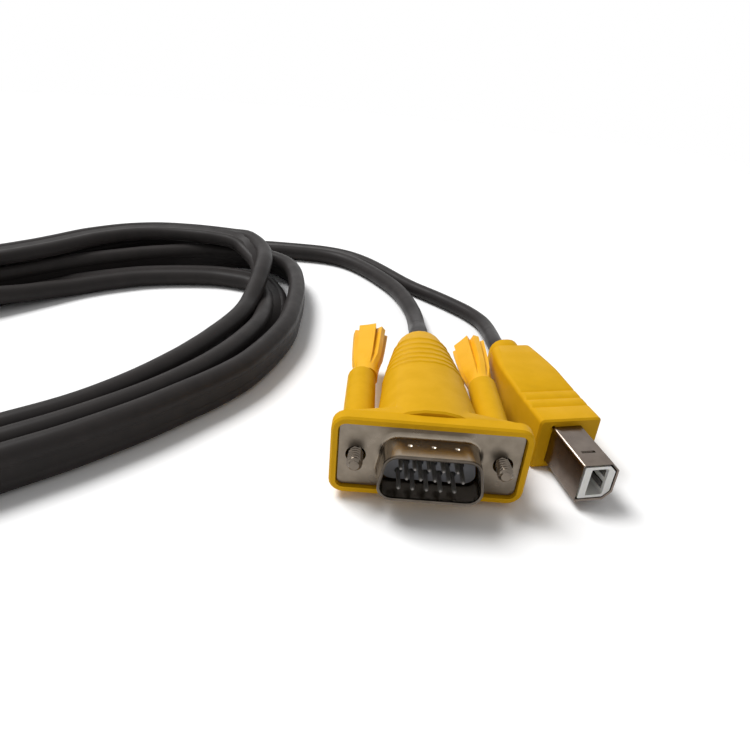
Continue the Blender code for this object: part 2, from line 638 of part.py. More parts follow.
def usb_b_grip(paints):
    """Moulded grip of the square plug: straight, then tapered, with ribs, a groove and a collar."""
    pocket_grow = 2 * CLEAR
    pocket = cut_corner_box(B_SHELL_W + pocket_grow, B_SHELL_H + pocket_grow, B_SHELL_CORNER, B_SHELL_CUT)
    edge = FLANGE_EDGE
    base = rounded_box(B_GRIP_W, B_GRIP_H, B_GRIP_CORNER)
    eased = rounded_box(B_GRIP_W - 2 * edge, B_GRIP_H - 2 * edge, B_GRIP_CORNER - edge / 2)
    rings = [ring(pocket, B_REACH + B_SHELL_IN_GRIP + CLEAR), ring(pocket, B_REACH), ring(eased, B_REACH),
             ring(base, B_REACH + edge)]
    for rib in range(RIB_COUNT):
        middle = RIB_FIRST + RIB_STEP * rib
        valley = rounded_box(B_GRIP_W, B_GRIP_H - 2 * RIB_RISE, B_GRIP_CORNER - RIB_RISE)
        rings.append(ring(base, middle - RIB_WIDTH))
        rings.append(ring(valley, middle - RIB_WIDTH / 2))
        rings.append(ring(base, middle))
    rings.append(ring(base, B_GRIP_STRAIGHT))
    for step in range(1, 4):
        t = step / 3
        width = B_GRIP_W + (B_GRIP_END_W - B_GRIP_W) * t ** B_GRIP_EASE
        height = B_GRIP_H + (B_GRIP_END_H - B_GRIP_H) * t ** B_GRIP_EASE
        y = B_GRIP_STRAIGHT + (B_GRIP_END - B_GRIP_TAPER - B_GRIP_STRAIGHT) * t
        rings.append(ring(rounded_box(width, height, B_GRIP_CORNER * (1 + t)), y))
    socket = oval(USB_CORE_D / 2 + CLEAR, USB_CORE_D / 2 + CLEAR)
    rings += grip_tail_b() + [ring(socket, B_COLLAR_END), ring(socket, B_COLLAR_END - LEAD_SOCKET)]
    bent = [[(x + tail_bend(y), y, z) for x, y, z in points] for points in rings]
    return loft("usb b grip", bent, paints["hood"])


def tail_bend(y):
    """How far the soft tail of the square plug's grip is pulled aside at y."""
    along = max(0.0, (y - B_GRIP_STRAIGHT / 2) / (B_COLLAR_END - B_GRIP_STRAIGHT / 2))
    return B_TAIL_BEND * along ** 2


def grip_tail_b():
    """Rounded shoulder, groove and collar behind the square plug's grip."""
    shoulder = rounded_box(B_COLLAR_W + B_GROOVE, B_COLLAR_H + B_GROOVE, B_COLLAR_CORNER)
    groove = rounded_box(B_COLLAR_W - B_GROOVE, B_COLLAR_H - B_GROOVE, B_GROOVE_CORNER)
    collar = rounded_box(B_COLLAR_W, B_COLLAR_H, B_COLLAR_CORNER)
    end = rounded_box(B_COLLAR_W - 2 * B_GROOVE, B_COLLAR_H - 2 * B_GROOVE, B_GROOVE_CORNER)
    return [ring(shoulder, B_GRIP_END - B_GROOVE), ring(groove, B_GRIP_END), ring(groove, B_GRIP_END + B_GROOVE),
            ring(collar, B_GRIP_END + 2 * B_GROOVE), ring(collar, B_COLLAR_END - B_GROOVE), ring(end, B_COLLAR_END)]


def usb_a_shell(paints):
    """Folded metal shell of the flat plug, with two square windows above and two below."""
    outer = rounded_box(A_SHELL_W, A_SHELL_H, A_SHELL_CORNER)
    inner = rounded_box(A_SHELL_W - 2 * A_SHELL_T, A_SHELL_H - 2 * A_SHELL_T, A_SHELL_CORNER - A_SHELL_T / 2)
    end = A_REACH + A_SHELL_IN_GRIP
    shell = loft("usb a shell", [ring(outer, 0), ring(outer, end), ring(inner, end), ring(inner, 0)],
                 paints["shell"], looped=True)
    windows = []
    for side in (-1, 1):
        for level in (-1, 1):
            x = side * A_WINDOW_SPACING / 2
            z = level * A_SHELL_H / 2
            low = (x - A_WINDOW / 2, A_WINDOW_Y, z - BURIED / 2)
            high = (x + A_WINDOW / 2, A_WINDOW_Y + A_WINDOW, z + BURIED / 2)
            windows.append(block("window", low, high, paints["shell"]))
    return combine(shell, windows, "DIFFERENCE")


def usb_a_insulator(paints):
    """Tongue that fills the lower half of the flat plug, stepped up to a block at its root."""
    gap = A_SHELL_T + CLEAR
    half = A_SHELL_W / 2 - gap
    floor = -A_SHELL_H / 2 + gap
    tongue = block("usb a insulator", (-half, A_TONGUE_SET, floor), (half, A_BLOCK_BACK, floor + A_TONGUE_T),
                   paints["white"])
    root = block("root", (-half, A_BLOCK_FACE, floor + A_TONGUE_T - BURIED / 2),
                 (half, A_BLOCK_BACK, A_SHELL_H / 2 - gap), paints["white"])
    solid = combine(tongue, [root], "UNION")
    grooves = []
    for contact in range(4):
        x = (contact - 1.5) * A_CONTACT_PITCH
        reach = A_CONTACT_W / 2 + CLEAR
        low = (x - reach, A_TONGUE_SET + BURIED / 2, floor + A_TONGUE_T - CONTACT_GROOVE)
        high = (x + reach, A_BLOCK_FACE - BURIED / 2, floor + A_TONGUE_T + BURIED)
        grooves.append(block("groove", low, high, paints["white"]))
    return combine(solid, grooves, "DIFFERENCE")


def usb_a_contact(paints):
    """Flat contact strip of the flat plug."""
    low = (-A_CONTACT_W / 2, A_TONGUE_SET + BURIED / 2 + CLEAR, -CONTACT_T / 2)
    high = (A_CONTACT_W / 2, A_BLOCK_FACE - BURIED / 2 - CLEAR, CONTACT_T / 2)
    return block("usb a contact", low, high, paints["pin"])


def usb_a_grip(paints):
    """Moulded grip of the flat plug, tapered towards its lead."""
    pocket = rounded_box(A_SHELL_W + 2 * CLEAR, A_SHELL_H + 2 * CLEAR, A_SHELL_CORNER + CLEAR)
    edge = FLANGE_EDGE
    base = rounded_box(A_GRIP_W, A_GRIP_H, A_GRIP_CORNER)
    eased = rounded_box(A_GRIP_W - 2 * edge, A_GRIP_H - 2 * edge, A_GRIP_CORNER - edge / 2)
    tail = rounded_box(A_GRIP_END_W, A_GRIP_END_H, A_TAIL_CORNER)
    collar = rounded_box(A_COLLAR_W, A_COLLAR_H, A_COLLAR_CORNER)
    end = rounded_box(A_COLLAR_W - 2 * B_GROOVE, A_COLLAR_H - 2 * B_GROOVE, A_TAIL_CORNER)
    rings = [ring(pocket, A_REACH + A_SHELL_IN_GRIP + CLEAR), ring(pocket, A_REACH), ring(eased, A_REACH),
             ring(base, A_REACH + edge), ring(base, A_GRIP_STRAIGHT), ring(tail, A_GRIP_END),
             ring(collar, A_GRIP_END + B_GROOVE), ring(collar, A_COLLAR_END - B_GROOVE), ring(end, A_COLLAR_END)]
    socket = oval(USB_CORE_D / 2 + CLEAR, USB_CORE_D / 2 + CLEAR)
    rings += [ring(socket, A_COLLAR_END), ring(socket, A_COLLAR_END - LEAD_SOCKET)]
    return loft("usb a grip", rings, paints["hood"])


def add_video_plug(prefix, place, meshes, poses, loose_pins):
    """One whole video plug on its empty."""
    add(prefix + "_hood", meshes["hood"], place)
    add(prefix + "_shell", meshes["shell"], place)
    if loose_pins:
        add(prefix + "_insulator", meshes["insulator"], place)
        for number, (x, z) in enumerate(pin_places(), start=1):
            add(f"{prefix}_pin_{number:02d}", meshes["pin"], place, (x, 0, z))
    else:
        add(prefix + "_insulator", meshes["pinned insulator"], place)
    for label, side, (turn, lean, droop) in (("left", -1, poses[0]), ("right", 1, poses[1])):
        axis = (side * SCREW_SPACING / 2, 0, 0)
        add(f"{prefix}_knob_{label}", meshes["knob"], place, axis, turn, lean, droop)
        add(f"{prefix}_screw_{label}", meshes["screw"], place, axis, turn, lean, droop)


def add_usb_b_plug(place, paints):
    """The square USB plug on its empty."""
    add("usb_b_grip", usb_b_grip(paints), place)
    add("usb_b_shell", usb_b_shell(paints), place)
    add("usb_b_insulator", usb_b_insulator(paints), place)
    contact = usb_b_contact(paints)
    for number, (side, z) in enumerate(b_contact_places(), start=1):
        add(f"usb_b_contact_{number}", contact, place, (side * B_OPENING_W / 2, 0, z))


def add_usb_a_plug(place, paints):
    """The flat USB plug on its empty."""
    add("usb_a_grip", usb_a_grip(paints), place)
    add("usb_a_shell", usb_a_shell(paints), place)
    add("usb_a_insulator", usb_a_insulator(paints), place)
    contact = usb_a_contact(paints)
    level = -A_SHELL_H / 2 + A_SHELL_T + CLEAR + A_TONGUE_T
    for number in range(4):
        x = (number - 1.5) * A_CONTACT_PITCH
        add(f"usb_a_contact_{number + 1}", contact, place, (x, 0, level))


def smooth(points, closed=False, per_span=12):
    """Points along a smooth curve through the given ones."""
    given = np.array(points, dtype=float)
    count = len(given)
    spans = count if closed else count - 1
    result = []
    for span in range(spans):
        picks = [span - 1, span, span + 1, span + 2]
        picks = [pick % count if closed else min(max(pick, 0), count - 1) for pick in picks]
        before, start, end, after = given[picks]
        for step in range(per_span):
            t = step / per_span
            bend = 2 * before - 5 * start + 4 * end - after
            twist = -before + 3 * start - 3 * end + after
            result.append(0.5 * (2 * start + (end - before) * t + bend * t ** 2 + twist * t ** 3))
    if not closed:
        result.append(given[-1])
    return np.array(result)


def evenly(points, step):
    """Points at an even distance of about one step along a line."""
    lengths = np.linalg.norm(np.diff(points, axis=0), axis=1)
    along = np.concatenate([[0], np.cumsum(lengths)])
    count = max(2, int(round(along[-1] / step)) + 1)
    stops = np.linspace(0, along[-1], count)
    return np.stack([np.interp(stops, along, points[:, axis]) for axis in range(points.shape[1])], axis=1)


def beside(points, offset, height):
    """A flat route moved sideways: a positive offset lies to the left of the way it runs."""
    flat = evenly(smooth(points), LEAD_STEPS / MM / 2)
    ahead = np.gradient(flat, axis=0)
    ahead /= np.linalg.norm(ahead, axis=1)[:, None]
    moved_x = flat[:, 0] - ahead[:, 1] * offset
    moved_y = flat[:, 1] + ahead[:, 0] * offset
    return [(x, y, height) for x, y in zip(moved_x, moved_y)]


def tube(name, points, diameter, material):
    """One core of the lead along a route given in millimetres."""
    route = evenly(smooth(points), LEAD_STEPS / MM)
    curve = bpy.data.curves.new(name, "CURVE")
    curve.dimensions = "3D"
    curve.bevel_depth = diameter / 2
    curve.bevel_resolution = 2
    curve.use_fill_caps = True
    spline = curve.splines.new("POLY")
    spline.points.add(len(route) - 1)
    for point, place in zip(spline.points, route):
        point.co = (*(place * MM), 1.0)
    curve.materials.append(material)
    piece = bpy.data.objects.new(name, curve)
    bpy.context.collection.objects.link(piece)
    return piece


def plug_tail(x, y, z, yaw, distance, aside=0.0):
    """Point in millimetres behind a plug's face, on its axis or a little aside of it."""
    tail_x = x - sin(yaw) * distance + cos(yaw) * aside
    tail_y = y + cos(yaw) * distance + sin(yaw) * aside
    return (tail_x / MM, tail_y / MM, z / MM)


def near_leads(paints):
    """Both cores from the near plugs to the coil: apart at first, then side by side."""
    half = CORES_APART / 2 / MM
    inside = LEAD_SOCKET - CLEAR
    video_start = [plug_tail(0, 0, BODY_HALF_H, 0, TAIL_END + DOME - inside)]
    usb_start = []
    for distance in (B_COLLAR_END - inside, B_COLLAR_END - inside / 2, B_COLLAR_END + 2 * CLEAR):
        usb_start.append(plug_tail(B_X, B_Y, B_GRIP_H / 2, B_YAW, distance, tail_bend(distance)))
    video_twin = beside(NEAR_TWIN, half, VIDEO_REST / MM)
    usb_twin = beside(NEAR_TWIN, -half, USB_REST / MM)
    video = tube("near_vga_lead", video_start + VIDEO_BRANCH + video_twin, VIDEO_CORE_D, paints["lead"])
    usb = tube("near_usb_lead", usb_start + USB_BRANCH + usb_twin, USB_CORE_D, paints["lead"])
    return [video, usb]


def far_leads(paints):
    """Both cores from the coil to the far plugs."""
    half = CORES_APART / 2 / MM
    inside = LEAD_SOCKET - CLEAR
    tail = TAIL_END + DOME
    video_end = [plug_tail(FAR_VIDEO_X, FAR_VIDEO_Y, BODY_HALF_H, FAR_VIDEO_YAW, tail + 2 * CLEAR),
                 plug_tail(FAR_VIDEO_X, FAR_VIDEO_Y, BODY_HALF_H, FAR_VIDEO_YAW, tail - inside)]
    usb_end = [plug_tail(FAR_A_X, FAR_A_Y, A_GRIP_H / 2, FAR_A_YAW, A_COLLAR_END + 2 * CLEAR),
               plug_tail(FAR_A_X, FAR_A_Y, A_GRIP_H / 2, FAR_A_YAW, A_COLLAR_END - inside)]
    video_twin = beside(FAR_TWIN, -half, VIDEO_REST / MM)
    usb_twin = beside(FAR_TWIN, half, USB_REST / MM)
    video = tube("far_vga_lead", video_twin + FAR_VIDEO_BRANCH + video_end, VIDEO_CORE_D, paints["lead"])
    usb = tube("far_usb_lead", usb_twin + FAR_USB_BRANCH + usb_end, USB_CORE_D, paints["lead"])
    return [video, usb]


def coil(paints):
    """Outer shape of the coiled lead: a closed band that follows the coil's middle line."""
    line = smooth(COIL_LINE, closed=True, per_span=COIL_SPAN_STEPS) * MM
    ahead = np.roll(line, -1, axis=0) - np.roll(line, 1, axis=0)
    rings = []
    for number, (x, y, width, height) in enumerate(line):
        reach = hypot(ahead[number][0], ahead[number][1])
        across_x = ahead[number][1] / reach
        across_y = -ahead[number][0] / reach
        section = coil_section(width, height)
        rings.append([(x + across_x * u, y + across_y * u, v) for u, v in section])
    return loft("lead coil", rings, paints["lead"], looped=True)


def coil_section(width, height):
    """Cross-section of the coil, rounded at its corners and standing on the table."""
    points = []
    radius = VIDEO_CORE_D / 2
    for corner in range(4):
        side = 1 if corner in (0, 1) else -1
        level = 1 if corner in (1, 2) else -1
        for step in range(COIL_RING_STEPS):
            angle = radians(90 * (corner - 1) + 90 * step / (COIL_RING_STEPS - 1))
            u = side * (width / 2 - radius) + radius * cos(angle)
            v = height / 2 + level * (height / 2 - radius) + radius * sin(angle)
            points.append((u, v))
    return points


def centre_on_table(own_places, everything):
    """Moves the whole lead so that the two near plugs' box stands with its bottom centre at the origin."""
    bpy.context.view_layer.update()
    corners = []
    for place in own_places:
        for piece in place.children:
            corners += [piece.matrix_world @ vert.co for vert in piece.data.vertices]
    corners = np.array(corners)
    low = corners.min(axis=0)
    high = corners.max(axis=0)
    shift = Vector((-(low[0] + high[0]) / 2, -(low[1] + high[1]) / 2, -low[2]))
    for thing in everything:
        thing.location += shift
    return shift


def main():
    """Builds every piece of the lead."""
    for thing in list(bpy.data.objects):
        bpy.data.objects.remove(thing)
    paints = make_paints()
    meshes = {"hood": video_hood(paints), "shell": video_shell(paints), "pin": pin(paints), "knob": knob(paints),
              "insulator": video_insulator(paints, True), "pinned insulator": video_insulator(paints, False),
              "screw": screw(paints)}
    near_video = seat("near video plug", 0, 0, BODY_HALF_H, 0)
    near_poses = [(LEFT_TURN, LEFT_LEAN, 0.0), (RIGHT_TURN, 0.0, RIGHT_DROOP)]
    add_video_plug("near_vga", near_video, meshes, near_poses, True)
    near_usb = seat("near usb plug", B_X, B_Y, B_GRIP_H / 2, B_YAW)
    add_usb_b_plug(near_usb, paints)
    far_video = seat("far video plug", FAR_VIDEO_X, FAR_VIDEO_Y, BODY_HALF_H, FAR_VIDEO_YAW)
    add_video_plug("far_vga", far_video, meshes, [(0.0, 0.0, 0.0), (0.0, 0.0, 0.0)], False)
    far_usb = seat("far usb plug", FAR_A_X, FAR_A_Y, A_GRIP_H / 2, FAR_A_YAW)
    add_usb_a_plug(far_usb, paints)
    band = bpy.data.objects.new("lead_coil", coil(paints))
    bpy.context.collection.objects.link(band)
    leads = near_leads(paints) + far_leads(paints)
    places = [near_video, near_usb, far_video, far_usb]
    return centre_on_table([near_video, near_usb], places + leads + [band])


if __name__ == "__main__":
    main()
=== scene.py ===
import bpy
import numpy as np
from math import cos, pi, radians, sin
from mathutils import Matrix, Vector


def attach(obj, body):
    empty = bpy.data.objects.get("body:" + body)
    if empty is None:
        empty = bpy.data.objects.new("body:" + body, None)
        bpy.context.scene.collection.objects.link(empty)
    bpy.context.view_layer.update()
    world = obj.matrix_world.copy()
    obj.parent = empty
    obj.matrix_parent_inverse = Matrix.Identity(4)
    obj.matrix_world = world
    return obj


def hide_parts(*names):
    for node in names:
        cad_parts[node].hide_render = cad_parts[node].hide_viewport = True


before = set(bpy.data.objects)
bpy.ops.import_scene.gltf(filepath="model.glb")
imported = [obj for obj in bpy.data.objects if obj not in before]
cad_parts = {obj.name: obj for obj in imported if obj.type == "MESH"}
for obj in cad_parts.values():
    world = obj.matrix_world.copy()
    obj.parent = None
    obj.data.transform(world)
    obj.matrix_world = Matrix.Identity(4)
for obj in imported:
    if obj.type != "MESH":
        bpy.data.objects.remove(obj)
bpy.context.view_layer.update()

MM = 0.001
MAIN_BODY = "lead_and_plugs"

# The middle of the near video plug's plate, on the table, in the model's metres
NEAR_PLATE = Vector((-0.0083324, -0.0219646, 0.0))

# The camera stands in front of the near video plug and a little to its left
CAMERA_PLACE = Vector((-0.012356, -0.080891, 0.06925)) + NEAR_PLATE
CAMERA_DOWN = radians(29.09)
CAMERA_ROLL = radians(5.207)
CAMERA_TURN = radians(-1.349)
CAMERA_LENS = 28.56
CAMERA_SENSOR = 36.0
CAMERA_NEAR = 0.005

# The two cores of the lead, in millimetres, half the distance between their middles, and how fine they are
VIDEO_CORE_D = 4.7
USB_CORE_D = 4.1
HALF_APART = 2.2
CORE_STEP = 4.0
CORE_BEVEL = 6

# The jacket between the cores sinks in, in millimetres, and more so in its last rows, where they part
GROOVE = 0.25
END_GROOVE = 1.75
END_ROWS = 4

# Plugs, in millimetres from the near plate: each one's middle at its face, and its heading
NEAR_VIDEO = (0.0, 0.0, 8.7, 0.0)
NEAR_SQUARE = (29.965, 1.455, 5.475, radians(12.84))
FAR_VIDEO = (-177.0, 126.0, 8.7, radians(178))
FAR_FLAT = (-204.0, 122.0, 4.1, radians(183))

# How far back their tails reach, and how far aside the square one's lies
HOOD_TAIL = 41.3
SQUARE_TAIL = 48.4
SQUARE_TAIL_ASIDE = 1.9
FLAT_TAIL = 44.5

# Each core starts inside its plug, in millimetres, and leaves it straight; the square plug's core eases aside
INSIDE = 7.7
STRAIGHT = 1.0
EASE_INNER = 0.5
EASE_OUTER = 0.8

# Square plug's shell where it enters the grip, in millimetres, and the moulding that closes up to it
SHELL_W = 7.3
SHELL_H = 8.0
SHELL_CUT = 1.6
SEAT_FRONT = 11.68
SEAT_BACK = 12.2
SEAT_GAP = 0.03
SEAT_WIDTH = 0.5
SEAT_CUT_SHARE = 0.4

# The near plug's bores are loose: its left knob and screw lean, and its right ones droop
LEFT_LEAN = radians(-1.6)
RIGHT_DROOP = radians(-1.5)
NEAR_TILTS = {"left": (0, 0, LEFT_LEAN), "right": (RIGHT_DROOP, 0, 0)}
FAR_TILTS = {"left": (0, 0, FAR_VIDEO[3]), "right": (0, 0, FAR_VIDEO[3])}

# Screws of the video plugs, in millimetres along their own axis
SCREW_SPACING = 25.0
SCREW_TIP = -3.2
SCREW_POINT = 0.5
SCREW_END = 34.3
SCREW_D = 2.7
SHANK_D = 2.3
THREAD_ROOT_D = 1.8
THREAD_PITCH = 0.635
THREAD_STEEPNESS = 1.25
THREAD_END = 3.4
THREAD_STEPS = 8
THREAD_SIDES = 24

# Routes in millimetres from the middle of the near video plug's plate
# The twin lead's points have x, y, roll and lift
VIDEO_BRANCH = [(0, 42.5, 8.7), (0.3, 48.5, 8.4), (0.5, 53.0, 7.5), (0.8, 57.0, 6.1), (1.0, 61.4, 4.6),
                (1.1, 66.0, 3.4), (1.1, 71.0, 2.7), (0.8, 75.8, 2.4), (0.2, 80.0, 2.4),
                (-0.8, 84.6, 2.4), (-2.0, 89.2, 2.4), (-3.8, 94.3, 2.4), (-6.2, 99.4, 2.4)]
USB_BRANCH = [(20.5, 56.0, 4.9), (20.9, 66.2, 3.2), (20.3, 74.4, 2.3), (18.6, 79.0, 2.1),
              (16.1, 83.0, 2.1), (13.1, 86.6, 2.1), (9.5, 90.6, 2.1), (5.7, 94.4, 2.1),
              (1.9, 98.1, 2.1), (-2.0, 102.9, 2.1)]
NEAR_TWIN = [(-8.8, 108.0, 0, 0), (-13.1, 113.9, 0, 0), (-18.0, 119.2, 0, 0), (-23.7, 123.1, 0, 0),
             (-30.6, 125.1, 0, 0), (-38.0, 125.5, 0, 0), (-45.3, 125.5, 0, 0), (-52.0, 124.7, 0, 0.1),
             (-60.0, 122.0, 30, 0.3), (-68.0, 118.9, 65, 0.2), (-77.0, 115.0, 88, 0)]
FAR_TWIN = [(-153.5, 56.6, 180, 0.4), (-160.5, 57.2, 180, 0.05)]
FAR_VIDEO_BRANCH = [(-167.0, 60.5, 2.4), (-173.5, 61.0, 2.65), (-177.8, 66.5, 4.6), (-178.8, 73.0, 7.6)]
FAR_USB_BRANCH = [(-166.5, 52.0, 2.1), (-176.0, 49.5, 2.1), (-189.0, 52.0, 2.1), (-198.5, 59.5, 2.2),
                  (-201.6, 69.0, 3.6)]

# The coil's middle line against the clock, and what the twin lead does on it: the place along the line,
# how far outwards, how far lifted, and the roll, with the thick core inside at 0 and on top at 90.
# The line has 22 points, so place 22 is point 0 again, one turn on
COIL_LINE = [(-74.8, -2.0), (-62.2, 9.0), (-51.9, 20.8), (-43.4, 35.0), (-38.5, 52.0), (-37.9, 66.0),
             (-39.7, 82.0), (-43.5, 95.5), (-52.5, 102.0), (-64.6, 103.0), (-81.9, 98.8),
             (-92.6, 92.9), (-101.8, 85.1), (-112.0, 73.5), (-129.0, 52.0), (-140.0, 35.0),
             (-147.0, 13.0), (-145.0, -7.0), (-133.0, -24.0), (-116.0, -31.0), (-103.0, -26.0),
             (-88.0, -14.5)]
FIRST_TURN = [(10, 12.0, 0, 90), (10.6, 9.6, 0, 90), (11, 8.2, 0, 90), (11.5, 6.8, 0, 90),
              (12.2, 5.0, 0, 90), (13, 3.6, 0, 90), (14, 3.9, 0, 90), (15, 4.4, 0, 90),
              (21, 4.8, 0, 90)]
SECOND_TURN = [(22, 5.9, 0, 90), (22.6, 5.7, 0, 90), (23, 5.3, 0, 90), (24, 5.0, 0, 90),
               (25, 5.8, 0, 90), (27, 5.6, 0, 90), (28, 6.3, 0, 86), (29, 6.7, 0, 72),
               (30, 6.9, 0, 58), (30.6, 5.6, 0, 60), (31.2, 2.7, 0, 76), (31.8, -0.2, 0, 90),
               (32.4, -1.7, 0, 90), (33, -2.0, 0, 90), (34, -2.0, 0, 90), (37, -2.1, 0, 90),
               (38, -1.5, 0, 90), (39, -0.5, 0, 90), (40, 0, 0, 90), (43, 0.2, 0, 90)]
THIRD_TURN = [(44, 1.3, 0, 90), (44.6, 1.0, 0, 90), (45, 0.6, 0, 90), (46, 0.2, 0, 90),
              (47, -0.2, 0, 80), (48, 0, 0, 62), (49, -0.1, 0, 40), (49.5, -0.3, 0, 25),
              (50, -0.9, 0, 10), (50.5, -2.9, 0, 0), (51, -5.3, 0, 0), (51.5, -7.1, 0, 0),
              (52, -8.0, 0, 0), (52.7, -8.4, 0, 0), (54, -8.7, 0, 0), (55, -8.7, 0, 0),
              (56, -8.3, 0, 0), (57, -8.2, 0, 20), (58, -7.4, 0, 65), (59, -6.6, 0, 90),
              (60, -6.2, 0, 90), (61, -5.5, 0, 90), (62, -4.9, 0, 90), (65, -4.2, 0, 90)]
LAST_TURN = [(66, -3.4, 0, 90), (66.6, -3.6, 0, 90), (67, -3.9, 0, 90), (67.5, -4.7, 0, 90),
             (68, -5.6, 0, 90), (68.5, -6.6, 0, 90), (69, -7.3, 0, 90), (69.5, -7.4, 0, 90),
             (70, -7.1, 0, 90), (71, -6.4, 0.3, 100), (71.5, -5.7, 2.3, 110), (72, -4.7, 4.0, 114),
             (72.4, -3.9, 4.7, 114), (73, -3.3, 4.9, 120), (73.7, -0.5, 6.2, 140),
             (74.17, 2.6, 8.0, 160), (74.5, 3.5, 8.6, 175), (75, 4.6, 8.7, 180), (75.4, 6.2, 8.7, 180),
             (75.8, 7.1, 8.8, 180), (76.4, 6.4, 8.8, 180), (77.25, 4.0, 8.9, 180), (78, 1.4, 8.8, 180),
             (78.5, 0.3, 8.8, 180), (79, 0.3, 8.8, 180), (79.25, 1.8, 8.8, 180), (79.5, 4.6, 8.8, 180),
             (79.75, 8.5, 8.6, 180), (80, 13.0, 7.0, 180), (80.2, 16.0, 4.0, 180),
             (80.35, 18.0, 1.7, 180)]
WINDING_STEPS = 4

# Halfway between the two video plugs, in metres: the front rims of their collars lie further off than this,
# and get painted shade there, a darker colour standing in for a dark reflection
PLUGS_MIDDLE_Y = 0.04104
RIM_DISTANCE = 0.0683

# How squarely the plate and the collar's sides face forwards: the sideways-facing walls get a brighter,
# warmer colour, a painted reflection
PLATE_FACING = 0.92
COLLAR_FACING = 0.55

# How weakly the jacket shines at a low angle, and how far light gets into soft plastic, in metres
JACKET_IOR = 1.22
SOFT_DEPTH = (0.002, 0.0012, 0.0004)

# Edges that bend more than this stay sharp
SHARP_EDGE = radians(32)
SAME_POINT = 0.000001

# White table, in metres: solid round the object and clear further out
TABLE_MIDDLE = (-0.05, 0.03, 0.0)
TABLE_SOLID = 0.24
TABLE_CLEAR = 0.6
TABLE_HALF = 1.5
TABLE_DROP = 0.0001

# Light: the surround's share, and the lamp in metres and watts
SURROUND_LIGHT = 0.35
LAMP_PLACE = (-1.45, 0.7, 2.5)
LAMP_AIM = (-0.03, 0.03, 0)
LAMP_SIZE = 1.3
LAMP_POWER = 90.0


def smooth(points, per_span=4):
    """Points along a smooth curve through the given ones."""
    given = np.array(points, dtype=float)
    last = len(given) - 1
    result = []
    for span in range(last):
        before, start, end, after = given[[max(span - 1, 0), span, span + 1, min(span + 2, last)]]
        for step in range(per_span):
            t = step / per_span
            bend = 2 * before - 5 * start + 4 * end - after
            twist = -before + 3 * start - 3 * end + after
            result.append(0.5 * (2 * start + (end - before) * t + bend * t ** 2 + twist * t ** 3))
    result.append(given[-1])
    return np.array(result)


def evenly(points, step):
    """Points at an even distance of about one step along a line, measured on x, y and z."""
    lengths = np.linalg.norm(np.diff(points[:, :3], axis=0), axis=1)
    along = np.concatenate([[0], np.cumsum(lengths)])
    stops = np.linspace(0, along[-1], int(round(along[-1] / step)) + 1)
    return np.stack([np.interp(stops, along, points[:, axis]) for axis in range(points.shape[1])], axis=1)


def on_table(roll):
    """Height of the twin lead's middle where it lies on the table at a roll in degrees."""
    rise = HALF_APART * sin(radians(roll))
    return max(USB_CORE_D / 2 + rise, VIDEO_CORE_D / 2 - rise)


def winding():
    """The twin lead's middle through all the turns of the coil, with its roll in degrees."""
    count = len(COIL_LINE)
    ring = COIL_LINE[-2:] + COIL_LINE + COIL_LINE[:3]
    line = smooth(ring, WINDING_STEPS)[2 * WINDING_STEPS:(2 + count) * WINDING_STEPS]
    ahead = np.roll(line, -1, axis=0) - np.roll(line, 1, axis=0)
    ahead /= np.linalg.norm(ahead, axis=1)[:, None]
    stations = np.array(FIRST_TURN + SECOND_TURN + THIRD_TURN + LAST_TURN, dtype=float)
    result = []
    for number in range(int(stations[0][0] * WINDING_STEPS), int(stations[-1][0] * WINDING_STEPS) + 1):
        place = number / WINDING_STEPS
        outward, lift, roll = [np.interp(place, stations[:, 0], values) for values in stations.T[1:]]
        x, y = line[number % len(line)]
        ahead_x, ahead_y = ahead[number % len(line)]
        result.append((x + ahead_y * outward, y - ahead_x * outward, on_table(roll) + lift, roll))
    return result


def twin_lead():
    """Middle of the whole twin lead, and the direction from its thin core to its thick one."""
    near = [(x, y, on_table(roll) + lift, roll) for x, y, roll, lift in NEAR_TWIN]
    far = [(x, y, on_table(roll) + lift, roll) for x, y, roll, lift in FAR_TWIN]
    middle = evenly(smooth(near + winding() + far), CORE_STEP)
    ahead = np.gradient(middle[:, :2], axis=0)
    ahead /= np.linalg.norm(ahead, axis=1)[:, None]
    roll = np.radians(middle[:, 3])
    across = np.stack([-ahead[:, 1] * np.cos(roll), ahead[:, 0] * np.cos(roll), np.sin(roll)], axis=1)
    return middle[:, :3], across


def behind(plug, distance, aside=0.0):
    """Point in millimetres behind a plug's face, on its axis or a little aside of it."""
    x, y, z, heading = plug
    x -= sin(heading) * distance
    y += cos(heading) * distance
    return (x + cos(heading) * aside, y + sin(heading) * aside, z)


def in_model(point):
    """A point given in millimetres from the near plate, in the model's metres."""
    return Vector(point) * MM + NEAR_PLATE


def new_piece(name, points, faces, finish):
    """Mesh piece with one finish, put into the scene."""
    mesh = bpy.data.meshes.new(name)
    mesh.from_pydata(points, [], faces)
    mesh.materials.append(finish)
    piece = bpy.data.objects.new(name, mesh)
    bpy.context.collection.objects.link(piece)
    return piece


def closed_rings(points, sides):
    """Faces over both ends of a row of rings, and between each ring and the next one."""
    faces = [tuple(range(sides)), tuple(len(points) - 1 - step for step in range(sides))]
    for start in range(0, len(points) - sides, sides):
        for side in range(sides):
            beside = (side + 1) % sides
            faces.append((start + side, start + sides + side, start + sides + beside, start + beside))
    return faces


def make_core(name, route, diameter, jacket):
    """One round core of the lead along its route, and its length in metres."""
    path = evenly(smooth(route), CORE_STEP / 2)
    curve = bpy.data.curves.new(name, "CURVE")
    curve.dimensions = "3D"
    curve.bevel_depth = diameter * MM / 2
    curve.bevel_resolution = CORE_BEVEL
    curve.use_fill_caps = True
    spline = curve.splines.new("POLY")
    spline.points.add(len(path) - 1)
    for point, place in zip(spline.points, path):
        point.co = (*in_model(place), 1.0)
    curve.materials.append(jacket)
    core = bpy.data.objects.new(name, curve)
    bpy.context.collection.objects.link(core)
    return core, float(np.linalg.norm(np.diff(path, axis=0), axis=1).sum()) * MM


